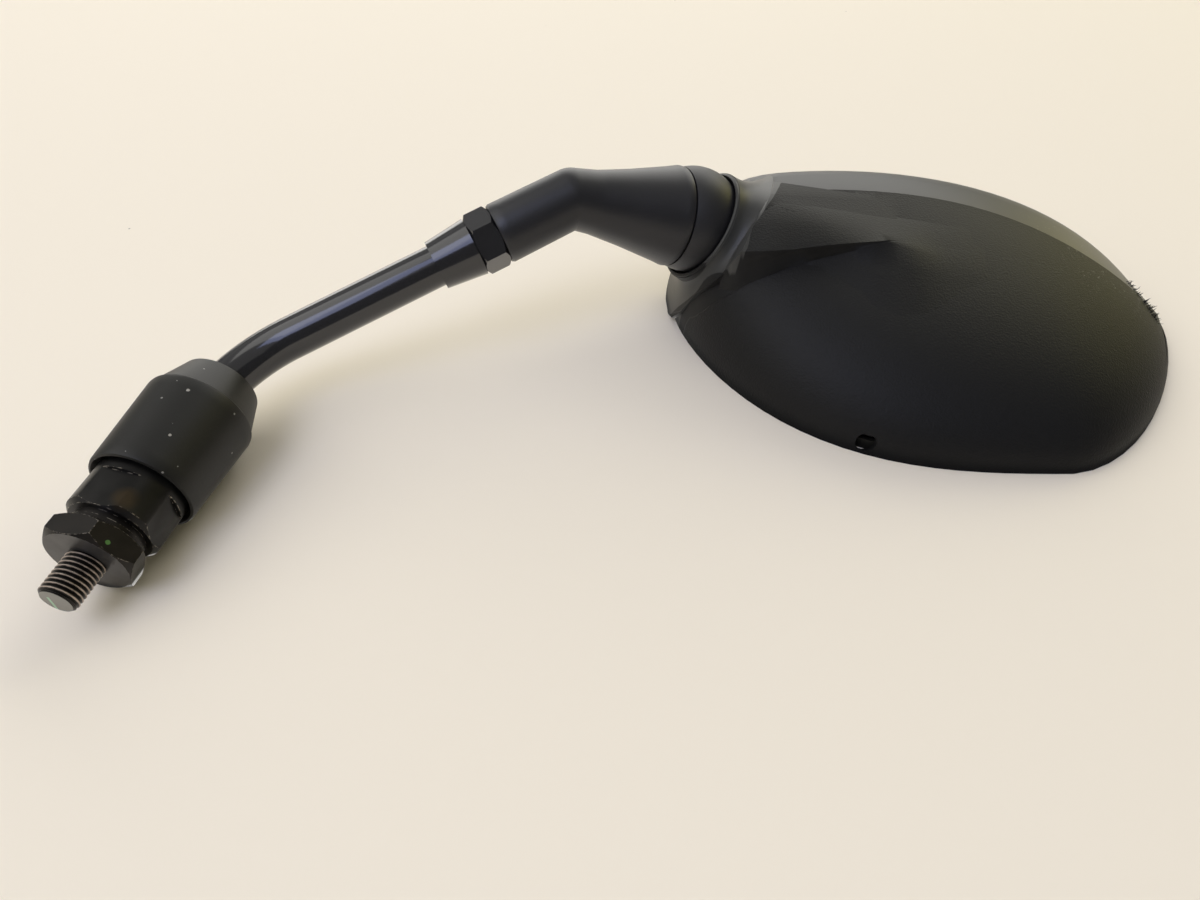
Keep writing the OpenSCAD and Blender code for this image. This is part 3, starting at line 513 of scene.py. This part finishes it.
# The boss's fair skin. The moulding carries its top on in one slope to a sharp edge, falls away there in a
# steep smooth flank, and dies out in the back past the flank's tip. Each line runs from the top to the back,
# in mm along the head, over the rim's plane and up the head.
fair_rows = [
    [(21, 45.5, -3), (20, 44.5, -6), (13, 36.5, -17), (8.9, 29.4, -20.8), (8, 22, -22.5), (8, 21, -23), (8, 20, -24)],
    [(24.5, 46.4, -3), (23, 46.8, -6.5), (17.6, 43.6, -17), (13.4, 40.15, -25.3), (13.3, 26.9, -26.5),
        (13.3, 25, -27), (13.3, 24, -27.5)],
    [(28, 46.1, -3), (26.5, 46.6, -7), (23.5, 44.3, -16), (21.2, 40.55, -25.6), (21.6, 31.95, -26.6),
        (21.6, 31, -27.1), (21.6, 30.2, -27.6)],
    [(32, 45.7, -3), (31.5, 45.9, -7), (30.3, 44.3, -16), (29.3, 40.3, -24.3), (30.6, 34.85, -24.8),
        (30.6, 34.2, -25.4), (30.6, 33.6, -26)],
    [(40, 44.4, -3), (40, 44.65, -7), (40, 43.85, -16), (41.2, 41, -22.8), (40.2, 36.9, -23.2), (40, 35.5, -26),
        (40, 32.3, -34)],
    [(48, 43.2, -3), (48, 43.3, -7), (48, 42.8, -16), (49.2, 41.3, -22), (48.5, 38.7, -22.7), (48, 36.3, -27),
        (48, 30.9, -40)],
    [(54, 42.1, -3), (54, 42.3, -7), (54, 42, -16), (54, 41.3, -21.4), (54, 40.2, -21.9), (54, 36.6, -29),
        (54, 28.95, -46)],
    [(60, 41.1, -3), (60, 41.3, -7), (60, 41, -16), (60, 41.1, -20.2), (60, 40.6, -20.7), (60, 36.7, -30),
        (60, 28.45, -48)],
    [(66, 40.1, -3), (66, 40.35, -7), (66, 40.15, -16), (66, 40, -20), (66, 39.6, -22.8), (66, 36.4, -30),
        (66, 28.5, -48)],
    [(76, 39.1, -3), (76, 39.1, -7), (76, 37.9, -16), (76, 37.2, -20), (76, 36.7, -23), (76, 34.8, -30),
        (76, 28.35, -48)],
    [(88, 37.8, -3), (88, 37.4, -7), (88, 36.05, -16), (88, 35.25, -20), (88, 34.75, -22.7), (88, 33.05, -30),
        (88, 28.1, -46)],
    [(98, 36, -3), (98, 35.4, -7), (98, 34.1, -16), (98, 33.4, -20), (98, 32.9, -22.7), (98, 31.3, -30), (98, 27, -46)],
]


def on_head(x, h, z):
    """A place on the head, in mm along it from the ball, over the rim's plane, and up it."""
    rim_plane = 37.1
    return ball + (head_along * x + head_deep * (rim_plane - h) + head_up * z) / 1000


between = 3
columns, rows = (len(fair_rows) - 1) * between + 1, len(fair_rows[0])
bpy.ops.object.select_all(action="DESELECT")
bpy.ops.mesh.primitive_grid_add(x_subdivisions=columns - 1, y_subdivisions=rows - 1, size=0.02)
skin = bpy.context.object
skin.name = "boss_skin"
for i, corner in enumerate(skin.data.vertices):
    row, column = divmod(i, columns)
    low = min(column // between, len(fair_rows) - 2)
    t = column / between - low
    corner.co = on_head(*(a + (b - a) * t for a, b in zip(fair_rows[low][row], fair_rows[low + 1][row])))
# Its outside faces away from the glass.
bpy.ops.object.mode_set(mode="EDIT")
bpy.ops.mesh.select_all(action="SELECT")
one_face = skin.data.polygons[columns * 2]
if one_face.normal.dot(head_deep) > 0:
    bpy.ops.mesh.flip_normals()
bpy.ops.object.mode_set(mode="OBJECT")
wall = skin.modifiers.new("wall", "SOLIDIFY")
wall.thickness, wall.offset = 0.0006, -1
bpy.ops.object.modifier_apply(modifier="wall")
bpy.ops.object.shade_smooth_by_angle(angle=math.radians(48))
coat(skin, moulded)
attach(skin, "head")

# The scrape at the head's outer end. The moulding's edge has been torn up there into short whiskers.
random = Random(7)
whiskers = []
tip, rooted = 0.00002, 0.0004
torn_edge = [(153.6, 14.4, -2.7), (154.4, 13.8, -6.4), (155.4, 12.6, -11), (157.0, 10.9, -15.7), (158.6, 9.0, -19)]
for _ in range(90):
    t = random.uniform(0, len(torn_edge) - 1.001)
    low, high = torn_edge[int(t)], torn_edge[int(t) + 1]
    root = on_head(*(low[k] + (high[k] - low[k]) * (t - int(t)) + random.uniform(-0.7, 0.7) for k in range(3)))
    way = (head_along * random.uniform(0.5, 1.2) - head_deep * random.uniform(-0.1, 0.8)
        + head_up * random.uniform(-0.1, 0.9)).normalized()
    length = random.uniform(0.0009, 0.0028)
    bpy.ops.object.select_all(action="DESELECT")
    bpy.ops.mesh.primitive_cone_add(vertices=5, radius1=random.uniform(0.00012, 0.00028), radius2=tip,
        depth=length, location=root + way * (length / 2 - rooted), rotation=way.to_track_quat("Z", "Y").to_euler())
    whiskers.append(bpy.context.object)
bpy.ops.object.select_all(action="DESELECT")
for whisker in whiskers:
    whisker.select_set(True)
bpy.context.view_layer.objects.active = whiskers[0]
bpy.ops.object.join()
bpy.ops.object.transform_apply(location=True, rotation=True, scale=True)
burrs = bpy.context.object
burrs.name = "torn_edge_whiskers"
coat(burrs, moulded)
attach(burrs, "head")

# The glass. Float glass silvered on its back, which mirrors all but perfectly, in a soft black bezel.
silvered, shader = finish("silvered_glass", {"Metallic": 1.0, "Roughness": 0.02})
place = add(silvered, "TexCoord")
smear = add(silvered, "TexNoise", {"Scale": 30.0, "Detail": 4.0}, {"Vector": place.outputs["Object"]})
tint = add(silvered, "Mix", {"A": linear("#D9DEE0"), "B": linear("#E2E6E8")}, {"Factor": smear.outputs["Fac"]},
    data_type="RGBA")
join(silvered, tint.outputs["Result"], shader.inputs["Base Color"])
haze = add(silvered, "MapRange", {"From Min": 0.4, "From Max": 0.7, "To Min": 0.015, "To Max": 0.04},
    {"Value": smear.outputs["Fac"]})
join(silvered, haze.outputs["Result"], shader.inputs["Roughness"])
for node, material in (("mirror_glass", silvered), ("glass_bezel", rubber)):
    coat(nodes[node], material)

# The parts inside. Zinc-plated steel for the spigots, stud, cup, spring, washer, nuts and screws, pale and
# lightly spangled. The liner, the backing plate and its pad are black. None of them shows from outside.
zinc, shader = finish("zinc_plated_steel", {"Metallic": 1.0, "Roughness": 0.32})
place = add(zinc, "TexCoord")
spangle = add(zinc, "TexNoise", {"Scale": 220.0, "Detail": 3.0}, {"Vector": place.outputs["Object"]})
tint = add(zinc, "Mix", {"A": linear("#8F9296"), "B": linear("#A9ABAD")}, {"Factor": spangle.outputs["Fac"]},
    data_type="RGBA")
join(zinc, tint.outputs["Result"], shader.inputs["Base Color"])
for node in ("lower_spigot", "upper_spigot", "stem_lock_nut", "pivot_stud", "pressure_cup", "pivot_spring",
        "thrust_washer", "pivot_nut", "backing_screws"):
    coat(nodes[node], zinc)
for node in ("ball_liner", "backing_plate", "adhesive_pad"):
    coat(nodes[node], powder)
